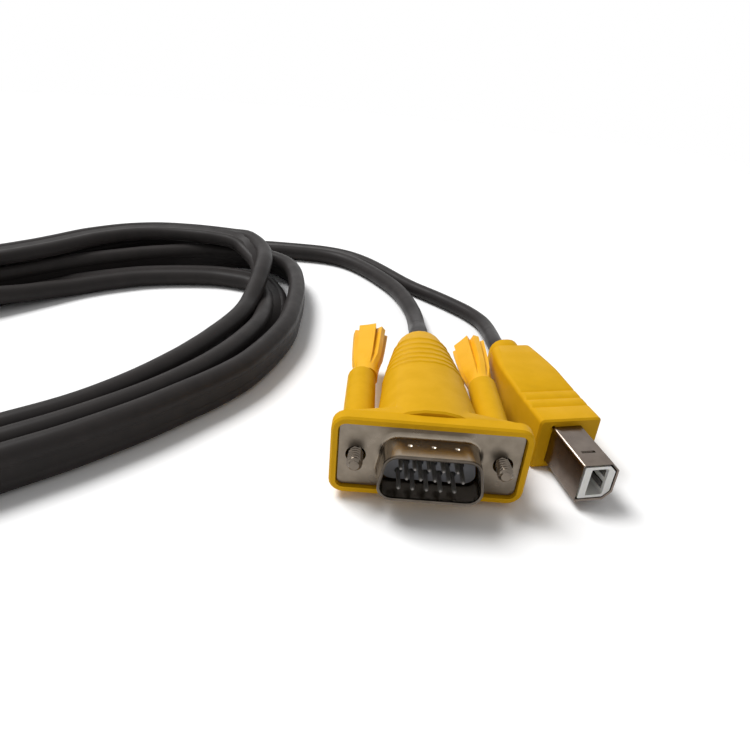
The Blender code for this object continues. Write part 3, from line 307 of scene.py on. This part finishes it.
def make_web(middle, across, jacket):
    """Jacket between the two cores: a shallow groove on each side, which gets deep where the cores part."""
    upright = np.cross(across, np.gradient(middle, axis=0))
    upright /= np.linalg.norm(upright, axis=1)[:, None]
    row = np.arange(len(middle))
    sinking = np.clip(1 - np.minimum(row, row[::-1]) / END_ROWS, 0, 1)
    groove = GROOVE + (END_GROOVE - GROOVE) * sinking[:, None]
    corners = []
    for side, turn in ((1, 1), (1, -1), (-1, -1), (-1, 1)):
        half = (VIDEO_CORE_D if side > 0 else USB_CORE_D) / 2 - groove
        corners.append(middle + across * side * HALF_APART + upright * turn * half)
    points = [tuple(in_model(point)) for ring in np.stack(corners, axis=1) for point in ring]
    web = new_piece("lead_web", points, closed_rings(points, len(corners)), jacket)
    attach(web, MAIN_BODY)
    return web


def video_route(twin_part):
    """The thick core's whole route, from one video plug to the other."""
    near = [behind(NEAR_VIDEO, HOOD_TAIL - INSIDE)] + VIDEO_BRANCH
    far = [behind(FAR_VIDEO, HOOD_TAIL + STRAIGHT), behind(FAR_VIDEO, HOOD_TAIL - INSIDE)]
    return near + list(twin_part) + FAR_VIDEO_BRANCH + far


def usb_route(twin_part):
    """The thin core's whole route, from the square plug to the flat one."""
    near = [behind(NEAR_SQUARE, SQUARE_TAIL - INSIDE, SQUARE_TAIL_ASIDE * EASE_INNER),
            behind(NEAR_SQUARE, SQUARE_TAIL - INSIDE / 2, SQUARE_TAIL_ASIDE * EASE_OUTER),
            behind(NEAR_SQUARE, SQUARE_TAIL + STRAIGHT, SQUARE_TAIL_ASIDE)]
    far = [behind(FAR_FLAT, FLAT_TAIL + STRAIGHT), behind(FAR_FLAT, FLAT_TAIL - INSIDE)]
    return near + USB_BRANCH + list(twin_part) + FAR_USB_BRANCH + far


def make_lead(jacket):
    """Both cores of the lead from the near plugs to the far ones, and the web between them."""
    middle, across = twin_lead()
    web = make_web(middle, across, jacket)
    thick_route = video_route(middle + across * HALF_APART)
    thin_route = usb_route(middle - across * HALF_APART)
    video, video_length = make_core("video_core", thick_route, VIDEO_CORE_D, jacket)
    usb, usb_length = make_core("usb_core", thin_route, USB_CORE_D, jacket)
    for core in (video, usb):
        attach(core, MAIN_BODY)
    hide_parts("near_vga_lead", "far_vga_lead", "lead_coil")
    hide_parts("near_usb_lead", "far_usb_lead")
    tuple(in_model(behind(NEAR_VIDEO, HOOD_TAIL)))
    tuple(in_model(behind(NEAR_SQUARE, SQUARE_TAIL, SQUARE_TAIL_ASIDE)))
    print("video core", round(video_length, 3), "usb core", round(usb_length, 3))
    return web


def thread_ring(y):
    """Points round the screw at one place along its thread, which has a flat crest."""
    ring = []
    for side in range(THREAD_SIDES):
        turn = side / THREAD_SIDES
        rise = 1 - abs(2 * ((y / THREAD_PITCH - turn) % 1.0) - 1)
        radius = (THREAD_ROOT_D + (SCREW_D - THREAD_ROOT_D) * min(1.0, THREAD_STEEPNESS * rise)) / 2
        radius = min(radius, SCREW_D / 2 - SCREW_POINT + (y - SCREW_TIP))
        ring.append((radius * cos(2 * pi * turn), y, radius * sin(2 * pi * turn)))
    return ring


def plain_ring(y, diameter):
    """Points round the plain part of the screw."""
    angles = [2 * pi * side / THREAD_SIDES for side in range(THREAD_SIDES)]
    return [(diameter / 2 * cos(angle), y, diameter / 2 * sin(angle)) for angle in angles]


def make_screw(name, steel):
    """Steel screw with a real thread and a plain shank."""
    count = int((THREAD_END - SCREW_TIP) / THREAD_PITCH * THREAD_STEPS)
    rings = [thread_ring(SCREW_TIP + step * THREAD_PITCH / THREAD_STEPS) for step in range(count + 1)]
    rings += [plain_ring(THREAD_END + SCREW_POINT, SHANK_D), plain_ring(SCREW_END, SHANK_D)]
    points = [tuple(c * MM for c in point) for ring in rings for point in ring]
    return new_piece(name, points, closed_rings(points, THREAD_SIDES), steel)


def make_screws(end, plug, tilts, steel):
    """The two screws of a video plug, each in the place of its plain rod."""
    screws = []
    for side, aside in (("left", -SCREW_SPACING / 2), ("right", SCREW_SPACING / 2)):
        screw = make_screw(f"{end}_{side}_screw", steel)
        screw.location = in_model(behind(plug, 0, aside))
        screw.rotation_euler = tilts[side]
        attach(screw, f"{end}_{side}_thumbscrew")
        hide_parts(f"{end}_vga_screw_{side}")
        screws.append(screw)
    return screws


def seat_outline(grow):
    """Points round the square plug's shell, two of its corners cut off, that much outside it."""
    wide = SHELL_W / 2 + grow
    high = SHELL_H / 2 + grow
    cut = SHELL_CUT - grow * SEAT_CUT_SHARE
    return [(-wide, -high), (wide, -high), (wide, high - cut), (wide - cut, high), (cut - wide, high),
            (-wide, high - cut)]


def make_seat(yellow):
    """Yellow moulding that closes up to the metal shell where it enters the grip."""
    points = []
    for y in (SEAT_FRONT, SEAT_BACK):
        for grow in (SEAT_GAP, SEAT_WIDTH):
            points += [(x * MM, y * MM, z * MM) for x, z in seat_outline(grow)]
    count = len(seat_outline(0))
    faces = []
    for one, other in ((0, 1), (1, 3), (3, 2), (2, 0)):
        for side in range(count):
            beside = (side + 1) % count
            faces.append([ring * count + place for ring, place in
                          ((one, side), (other, side), (other, beside), (one, beside))])
    seat = new_piece("square_plug_seat", points, faces, yellow)
    seat.location = in_model(NEAR_SQUARE[:3])
    seat.rotation_euler.z = NEAR_SQUARE[3]
    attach(seat, MAIN_BODY)


def make_camera():
    """Camera at the photograph's angle."""
    ahead = Vector((-sin(CAMERA_TURN), cos(CAMERA_TURN), 0))
    forward = ahead * cos(CAMERA_DOWN) - Vector((0, 0, sin(CAMERA_DOWN)))
    level = Vector((cos(CAMERA_TURN), sin(CAMERA_TURN), 0))
    upright = level.cross(forward)
    right = level * cos(CAMERA_ROLL) + upright * sin(CAMERA_ROLL)
    up = upright * cos(CAMERA_ROLL) - level * sin(CAMERA_ROLL)
    lens = bpy.data.cameras.new("camera")
    lens.lens = CAMERA_LENS
    lens.sensor_width = CAMERA_SENSOR
    lens.clip_start = CAMERA_NEAR
    camera = bpy.data.objects.new("camera", lens)
    turned = Matrix((right, up, -forward)).transposed().to_4x4()
    camera.matrix_world = Matrix.Translation(CAMERA_PLACE) @ turned
    bpy.context.collection.objects.link(camera)
    bpy.context.scene.camera = camera


class Wiring:
    """The nodes of one material or node group, joined up in few words."""

    def __init__(self, tree):
        self.tree = tree

    def node(self, kind, **settings):
        made = self.tree.nodes.new(kind)
        for name, value in settings.items():
            setattr(made, name, value)
        return made

    def link(self, source, target):
        self.tree.links.new(source, target)

    def feed(self, made, **values):
        """Sets a node's inputs by name: a socket is linked and anything else is set."""
        for name, value in values.items():
            socket = made.inputs[name.replace("_", " ")]
            if isinstance(value, bpy.types.NodeSocket):
                self.link(value, socket)
            else:
                socket.default_value = value
        return made


def start_group(name, inputs, outputs):
    """An empty node group with named sockets."""
    tree = bpy.data.node_groups.new(name, "ShaderNodeTree")
    for label, kind, value in inputs:
        socket = tree.interface.new_socket(label, in_out="INPUT", socket_type=kind)
        socket.default_value = value
    for label, kind in outputs:
        tree.interface.new_socket(label, in_out="OUTPUT", socket_type=kind)
    wires = Wiring(tree)
    return tree, wires, wires.node("NodeGroupInput"), wires.node("NodeGroupOutput")


def mottle_group():
    """Slow change between two colours and between two values of the gloss."""
    tree, wires, given, result = start_group(
        "Mottle", [("Colour", "NodeSocketColor", (0.5, 0.5, 0.5, 1)),
                   ("Second Colour", "NodeSocketColor", (0.4, 0.4, 0.4, 1)),
                   ("Scale", "NodeSocketFloat", 200.0), ("Low Gloss", "NodeSocketFloat", 0.4),
                   ("High Gloss", "NodeSocketFloat", 0.5)],
        [("Colour", "NodeSocketColor"), ("Roughness", "NodeSocketFloat")])
    where = wires.node("ShaderNodeTexCoord")
    cloud = wires.feed(wires.node("ShaderNodeTexNoise"), Vector=where.outputs["Object"],
                       Scale=given.outputs["Scale"], Detail=4.0, Roughness=0.55)
    mask = wires.feed(wires.node("ShaderNodeMapRange"), Value=cloud.outputs["Fac"], From_Min=0.35,
                      From_Max=0.65)
    blend = wires.node("ShaderNodeMix", data_type="RGBA")
    wires.link(mask.outputs["Result"], blend.inputs[0])
    wires.link(given.outputs["Colour"], blend.inputs[6])
    wires.link(given.outputs["Second Colour"], blend.inputs[7])
    gloss = wires.feed(wires.node("ShaderNodeMapRange"), Value=cloud.outputs["Fac"], From_Min=0.3,
                       From_Max=0.7, To_Min=given.outputs["Low Gloss"], To_Max=given.outputs["High Gloss"])
    wires.link(blend.outputs[2], result.inputs["Colour"])
    wires.link(gloss.outputs["Result"], result.inputs["Roughness"])
    return tree


def grain_group():
    """Fine pebbled grain of a moulded skin."""
    tree, wires, given, result = start_group(
        "Moulded grain", [("Scale", "NodeSocketFloat", 3000.0), ("Depth", "NodeSocketFloat", 0.3),
                          ("Distance", "NodeSocketFloat", 0.00005)], [("Normal", "NodeSocketVector")])
    where = wires.node("ShaderNodeTexCoord")
    fine = wires.feed(wires.node("ShaderNodeTexNoise"), Vector=where.outputs["Object"],
                      Scale=given.outputs["Scale"], Detail=3.0, Roughness=0.6)
    bump = wires.feed(wires.node("ShaderNodeBump"), Strength=given.outputs["Depth"],
                      Distance=given.outputs["Distance"], Height=fine.outputs["Fac"])
    wires.link(bump.outputs["Normal"], result.inputs["Normal"])
    return tree


def drawn_group():
    """Faint lines that drawing and plating leave on sheet metal, along one axis."""
    tree, wires, given, result = start_group(
        "Drawn lines", [("Scale", "NodeSocketFloat", 900.0), ("Depth", "NodeSocketFloat", 0.15),
                        ("Stretch", "NodeSocketVector", (1.0, 0.05, 1.0))],
        [("Normal", "NodeSocketVector")])
    where = wires.node("ShaderNodeTexCoord")
    stretch = wires.node("ShaderNodeVectorMath", operation="MULTIPLY")
    wires.link(where.outputs["Object"], stretch.inputs[0])
    wires.link(given.outputs["Stretch"], stretch.inputs[1])
    lines = wires.feed(wires.node("ShaderNodeTexNoise"), Vector=stretch.outputs["Vector"],
                       Scale=given.outputs["Scale"], Detail=5.0, Roughness=0.7)
    bump = wires.feed(wires.node("ShaderNodeBump"), Strength=given.outputs["Depth"], Distance=0.00002,
                      Height=lines.outputs["Fac"])
    wires.link(bump.outputs["Normal"], result.inputs["Normal"])
    return tree


def start_material(name):
    """A new material with its shader and its wiring."""
    material = bpy.data.materials.new(name)
    material.use_nodes = True
    shader = material.node_tree.nodes["Principled BSDF"]
    return material, shader, Wiring(material.node_tree)


def place_group(wires, tree, **values):
    """One use of a node group in a material, with its own values."""
    used = wires.node("ShaderNodeGroup", node_tree=tree)
    return wires.feed(used, **values)


def moulded(name, groups, colour, second, gloss, grain, shine=0.5, soft=0.0):
    """Moulded plastic: mottled colour, uneven gloss and a fine grain."""
    material, shader, wires = start_material(name)
    tone = place_group(wires, groups["mottle"], Colour=(*colour, 1), Second_Colour=(*second, 1),
                       Scale=260.0, Low_Gloss=gloss[0], High_Gloss=gloss[1])
    skin = place_group(wires, groups["grain"], Scale=grain[0], Depth=grain[1])
    wires.feed(shader, Base_Color=tone.outputs["Colour"], Roughness=tone.outputs["Roughness"],
               Normal=skin.outputs["Normal"], Specular_IOR_Level=shine, Subsurface_Weight=soft)
    shader.inputs["Subsurface Radius"].default_value = SOFT_DEPTH
    shader.inputs["Subsurface Scale"].default_value = 1.0
    return material


def metal(name, groups, colour, second, gloss, stretch, depth=0.15, metallic=1.0):
    """Plated sheet metal: uneven tone, drawn lines and a soft gloss."""
    material, shader, wires = start_material(name)
    tone = place_group(wires, groups["mottle"], Colour=(*colour, 1), Second_Colour=(*second, 1),
                       Scale=420.0, Low_Gloss=gloss[0], High_Gloss=gloss[1])
    lines = place_group(wires, groups["drawn"], Depth=depth, Stretch=stretch)
    wires.feed(shader, Base_Color=tone.outputs["Colour"], Roughness=tone.outputs["Roughness"],
               Normal=lines.outputs["Normal"], Metallic=metallic)
    return material


def jacket_finish(groups):
    """Soft black jacket of the lead, with hardly any shine at a low angle."""
    material = moulded("Black jacket", groups, (0.031, 0.0275, 0.0265), (0.026, 0.0235, 0.023),
                       (0.36, 0.46), (1800.0, 0.12), shine=0.3)
    material.node_tree.nodes["Principled BSDF"].inputs["IOR"].default_value = JACKET_IOR
    return material


def rim_painted_shade(wires, groups, shell_colour):
    """Colour of the video plug's shell, with painted shade on the front rim of its collar: a darker colour
    that stands in for a dark reflection.
    """
    where = wires.node("ShaderNodeTexCoord")
    place = wires.node("ShaderNodeSeparateXYZ")
    wires.link(where.outputs["Object"], place.inputs["Vector"])
    behind_rim = wires.node("ShaderNodeMath", operation="COMPARE")
    wires.link(place.outputs["Y"], behind_rim.inputs[0])
    behind_rim.inputs[1].default_value = PLUGS_MIDDLE_Y
    behind_rim.inputs[2].default_value = RIM_DISTANCE
    # Painted shade: a darker colour on the collar's front rim, standing in for the dark surroundings it
    # reflects, not a tone of the metal
    rim = place_group(wires, groups["mottle"], Colour=(0.13, 0.11, 0.09, 1),
                      Second_Colour=(0.09, 0.075, 0.06, 1), Scale=420.0)
    colour = wires.node("ShaderNodeMix", data_type="RGBA")
    wires.link(behind_rim.outputs["Value"], colour.inputs[0])
    wires.link(rim.outputs["Colour"], colour.inputs[6])
    wires.link(shell_colour, colour.inputs[7])
    return colour.outputs[2]


def video_shell(groups):
    """Tin plate of the video plug; the collar's walls, picked by which way they face, get a brighter, warmer
    colour as a painted reflection, and less roughness.
    """
    material, shader, wires = start_material("Tin plate")
    tone = place_group(wires, groups["mottle"], Colour=(0.23, 0.195, 0.155, 1),
                       Second_Colour=(0.19, 0.16, 0.125, 1), Scale=420.0, Low_Gloss=0.26, High_Gloss=0.36)
    # Painted reflection: a brighter, warmer colour for the collar's sideways-facing walls, not a finish of
    # the metal
    collar_painted_sheen = place_group(wires, groups["mottle"], Colour=(0.40, 0.345, 0.275, 1),
                         Second_Colour=(0.33, 0.28, 0.22, 1), Scale=300.0, Low_Gloss=0.20, High_Gloss=0.28)
    lines = place_group(wires, groups["drawn"], Depth=0.12, Stretch=(1.0, 1.0, 0.08))
    shape = wires.node("ShaderNodeNewGeometry")
    axes = wires.node("ShaderNodeSeparateXYZ")
    wires.link(shape.outputs["Normal"], axes.inputs["Vector"])
    facing = wires.node("ShaderNodeMath", operation="ABSOLUTE")
    wires.link(axes.outputs["Y"], facing.inputs[0])
    # Mask by facing that puts the painted reflection on the collar's walls and leaves the plate's front its
    # own tone
    collar = wires.feed(wires.node("ShaderNodeMapRange"), Value=facing.outputs["Value"],
                        From_Min=PLATE_FACING, From_Max=COLLAR_FACING)
    colour = wires.node("ShaderNodeMix", data_type="RGBA")
    wires.link(collar.outputs["Result"], colour.inputs[0])
    wires.link(tone.outputs["Colour"], colour.inputs[6])
    wires.link(collar_painted_sheen.outputs["Colour"], colour.inputs[7])
    gloss = wires.node("ShaderNodeMix", data_type="FLOAT")
    wires.link(collar.outputs["Result"], gloss.inputs[0])
    wires.link(tone.outputs["Roughness"], gloss.inputs[2])
    wires.link(collar_painted_sheen.outputs["Roughness"], gloss.inputs[3])
    wires.feed(shader, Base_Color=rim_painted_shade(wires, groups, colour.outputs[2]), Roughness=gloss.outputs[0],
               Normal=lines.outputs["Normal"], Metallic=1.0)
    return material


def make_finishes():
    """Every material of the lead and its plugs."""
    groups = {"mottle": mottle_group(), "grain": grain_group(), "drawn": drawn_group()}
    return {
        "hood": moulded("Yellow moulding", groups, (0.64, 0.345, 0.007), (0.60, 0.322, 0.006), (0.42, 0.52),
                        (2600.0, 0.25), shine=0.05),
        "knob": moulded("Amber knob plastic", groups, (0.82, 0.425, 0.014), (0.78, 0.40, 0.012), (0.38, 0.46),
                        (3000.0, 0.15), shine=0.15, soft=0.05),
        "plate": video_shell(groups),
        "screw": metal("Screw steel", groups, (0.18, 0.15, 0.12), (0.13, 0.11, 0.09), (0.10, 0.16),
                       (1.0, 1.0, 1.0)),
        "pin": metal("Gold contact", groups, (0.22, 0.21, 0.195), (0.17, 0.16, 0.15), (0.34, 0.44),
                     (1.0, 0.1, 1.0), metallic=0.55),
        "dark": moulded("Dark insulator", groups, (0.21, 0.215, 0.235), (0.185, 0.19, 0.207), (0.5, 0.6),
                        (3000.0, 0.2), shine=0.3),
        "white": moulded("White insulator", groups, (0.74, 0.73, 0.70), (0.68, 0.67, 0.64), (0.35, 0.45),
                         (3000.0, 0.15), shine=0.4, soft=0.05),
        "shell": metal("Nickel shell", groups, (0.20, 0.165, 0.14), (0.165, 0.135, 0.115), (0.18, 0.28),
                       (1.0, 0.06, 1.0), depth=0.1),
        "lead": jacket_finish(groups),
    }


def finish_for(node):
    """Name of the finish that a CAD node gets."""
    if "knob" in node:
        return "knob"
    if "hood" in node or "grip" in node:
        return "hood"
    if node.endswith("vga_shell"):
        return "plate"
    if "screw" in node:
        return "screw"
    if "_pin_" in node or "contact" in node:
        return "pin"
    if "vga_insulator" in node:
        return "dark"
    if "insulator" in node:
        return "white"
    if "shell" in node:
        return "shell"
    return "lead"


def soften(pieces, skin):
    """Gives pieces the smooth skin."""
    for piece in pieces:
        piece.modifiers.new("smooth_skin", "NODES").node_group = skin


def smooth_skin():
    """Shape nodes that shade a curved surface smoothly and keep its sharp edges."""
    tree = bpy.data.node_groups.new("Smooth skin", "GeometryNodeTree")
    tree.interface.new_socket("Geometry", in_out="INPUT", socket_type="NodeSocketGeometry")
    tree.interface.new_socket("Geometry", in_out="OUTPUT", socket_type="NodeSocketGeometry")
    wires = Wiring(tree)
    given = wires.node("NodeGroupInput")
    angle = wires.node("GeometryNodeInputMeshEdgeAngle")
    sharp = wires.node("FunctionNodeCompare", data_type="FLOAT", operation="GREATER_THAN")
    wires.link(angle.outputs["Unsigned Angle"], sharp.inputs["A"])
    sharp.inputs["B"].default_value = SHARP_EDGE
    joined = wires.node("GeometryNodeMergeByDistance")
    joined.inputs["Distance"].default_value = SAME_POINT
    wires.link(given.outputs["Geometry"], joined.inputs["Geometry"])
    plain = wires.node("GeometryNodeRemoveAttribute")
    plain.inputs["Name"].default_value = "custom_normal"
    wires.link(joined.outputs["Geometry"], plain.inputs["Geometry"])
    round_faces = wires.node("GeometryNodeSetShadeSmooth", domain="FACE")
    wires.link(plain.outputs["Geometry"], round_faces.inputs["Geometry"])
    sharp_edges = wires.node("GeometryNodeSetShadeSmooth", domain="EDGE")
    sharp_edges.inputs["Shade Smooth"].default_value = False
    wires.link(round_faces.outputs["Geometry"], sharp_edges.inputs["Geometry"])
    wires.link(sharp.outputs["Result"], sharp_edges.inputs["Selection"])
    result = wires.node("NodeGroupOutput")
    wires.link(sharp_edges.outputs["Geometry"], result.inputs["Geometry"])
    return tree


def dress_frame(finishes, skin):
    """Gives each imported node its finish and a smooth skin."""
    soften(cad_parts.values(), skin)
    for name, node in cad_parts.items():
        material = finishes[finish_for(name)]
        if not node.material_slots:
            node.data.materials.append(material)
        for holder in node.material_slots:
            holder.material = material


def make_table():
    """White table that keeps the soft shadows and fades into the white surround away from the object."""
    material, shader, wires = start_material("White table")
    wires.feed(shader, Base_Color=(0.97, 0.97, 0.97, 1), Roughness=0.6)
    shader.inputs["Specular IOR Level"].default_value = 0.1
    where = wires.node("ShaderNodeTexCoord")
    middle = wires.node("ShaderNodeVectorMath", operation="DISTANCE")
    wires.link(where.outputs["Object"], middle.inputs[0])
    middle.inputs[1].default_value = TABLE_MIDDLE
    fade = wires.feed(wires.node("ShaderNodeMapRange"), Value=middle.outputs["Value"], From_Min=TABLE_SOLID,
                      From_Max=TABLE_CLEAR)
    clear = wires.node("ShaderNodeBsdfTransparent")
    mixed = wires.node("ShaderNodeMixShader")
    wires.link(fade.outputs["Result"], mixed.inputs["Fac"])
    wires.link(shader.outputs["BSDF"], mixed.inputs[1])
    wires.link(clear.outputs["BSDF"], mixed.inputs[2])
    wires.link(mixed.outputs["Shader"], material.node_tree.nodes["Material Output"].inputs["Surface"])
    corners = [(x * TABLE_HALF, y * TABLE_HALF, 0) for x, y in ((-1, -1), (1, -1), (1, 1), (-1, 1))]
    table = new_piece("table", corners, [(0, 1, 2, 3)], material)
    table.location.z = -TABLE_DROP


def make_lamp(name, place, target, size, power):
    """Soft square lamp aimed at a point."""
    lamp = bpy.data.lights.new(name, "AREA")
    lamp.shape = "SQUARE"
    lamp.size = size
    lamp.energy = power
    holder = bpy.data.objects.new(name, lamp)
    holder.location = place
    holder.rotation_euler = (Vector(target) - Vector(place)).to_track_quat("-Z", "Y").to_euler()
    bpy.context.collection.objects.link(holder)


def make_light():
    """Studio light: a big soft lamp high behind on the left, and a surround that is seen as white."""
    world = bpy.data.worlds.new("surround")
    world.use_nodes = True
    bpy.context.scene.world = world
    wires = Wiring(world.node_tree)
    seen = wires.node("ShaderNodeLightPath")
    first = wires.node("ShaderNodeMath", operation="MAXIMUM")
    wires.link(seen.outputs["Is Camera Ray"], first.inputs[0])
    wires.link(seen.outputs["Is Glossy Ray"], first.inputs[1])
    second = wires.node("ShaderNodeMath", operation="MAXIMUM")
    wires.link(first.outputs["Value"], second.inputs[0])
    wires.link(seen.outputs["Is Transmission Ray"], second.inputs[1])
    level = wires.feed(wires.node("ShaderNodeMapRange"), Value=second.outputs["Value"],
                       To_Min=SURROUND_LIGHT, To_Max=1.0)
    backdrop = world.node_tree.nodes["Background"]
    backdrop.inputs["Color"].default_value = (1.0, 1.0, 1.0, 1)
    wires.link(level.outputs["Result"], backdrop.inputs["Strength"])
    make_lamp("main_lamp", LAMP_PLACE, LAMP_AIM, LAMP_SIZE, LAMP_POWER)


def main():
    make_camera()
    finishes = make_finishes()
    skin = smooth_skin()
    dress_frame(finishes, skin)
    near_screws = make_screws("near", NEAR_VIDEO, NEAR_TILTS, finishes["screw"])
    far_screws = make_screws("far", FAR_VIDEO, FAR_TILTS, finishes["screw"])
    make_seat(finishes["hood"])
    web = make_lead(finishes["lead"])
    soften(near_screws + far_screws + [web], skin)
    make_table()
    make_light()
    bpy.context.scene.view_settings.view_transform = "Standard"


main()
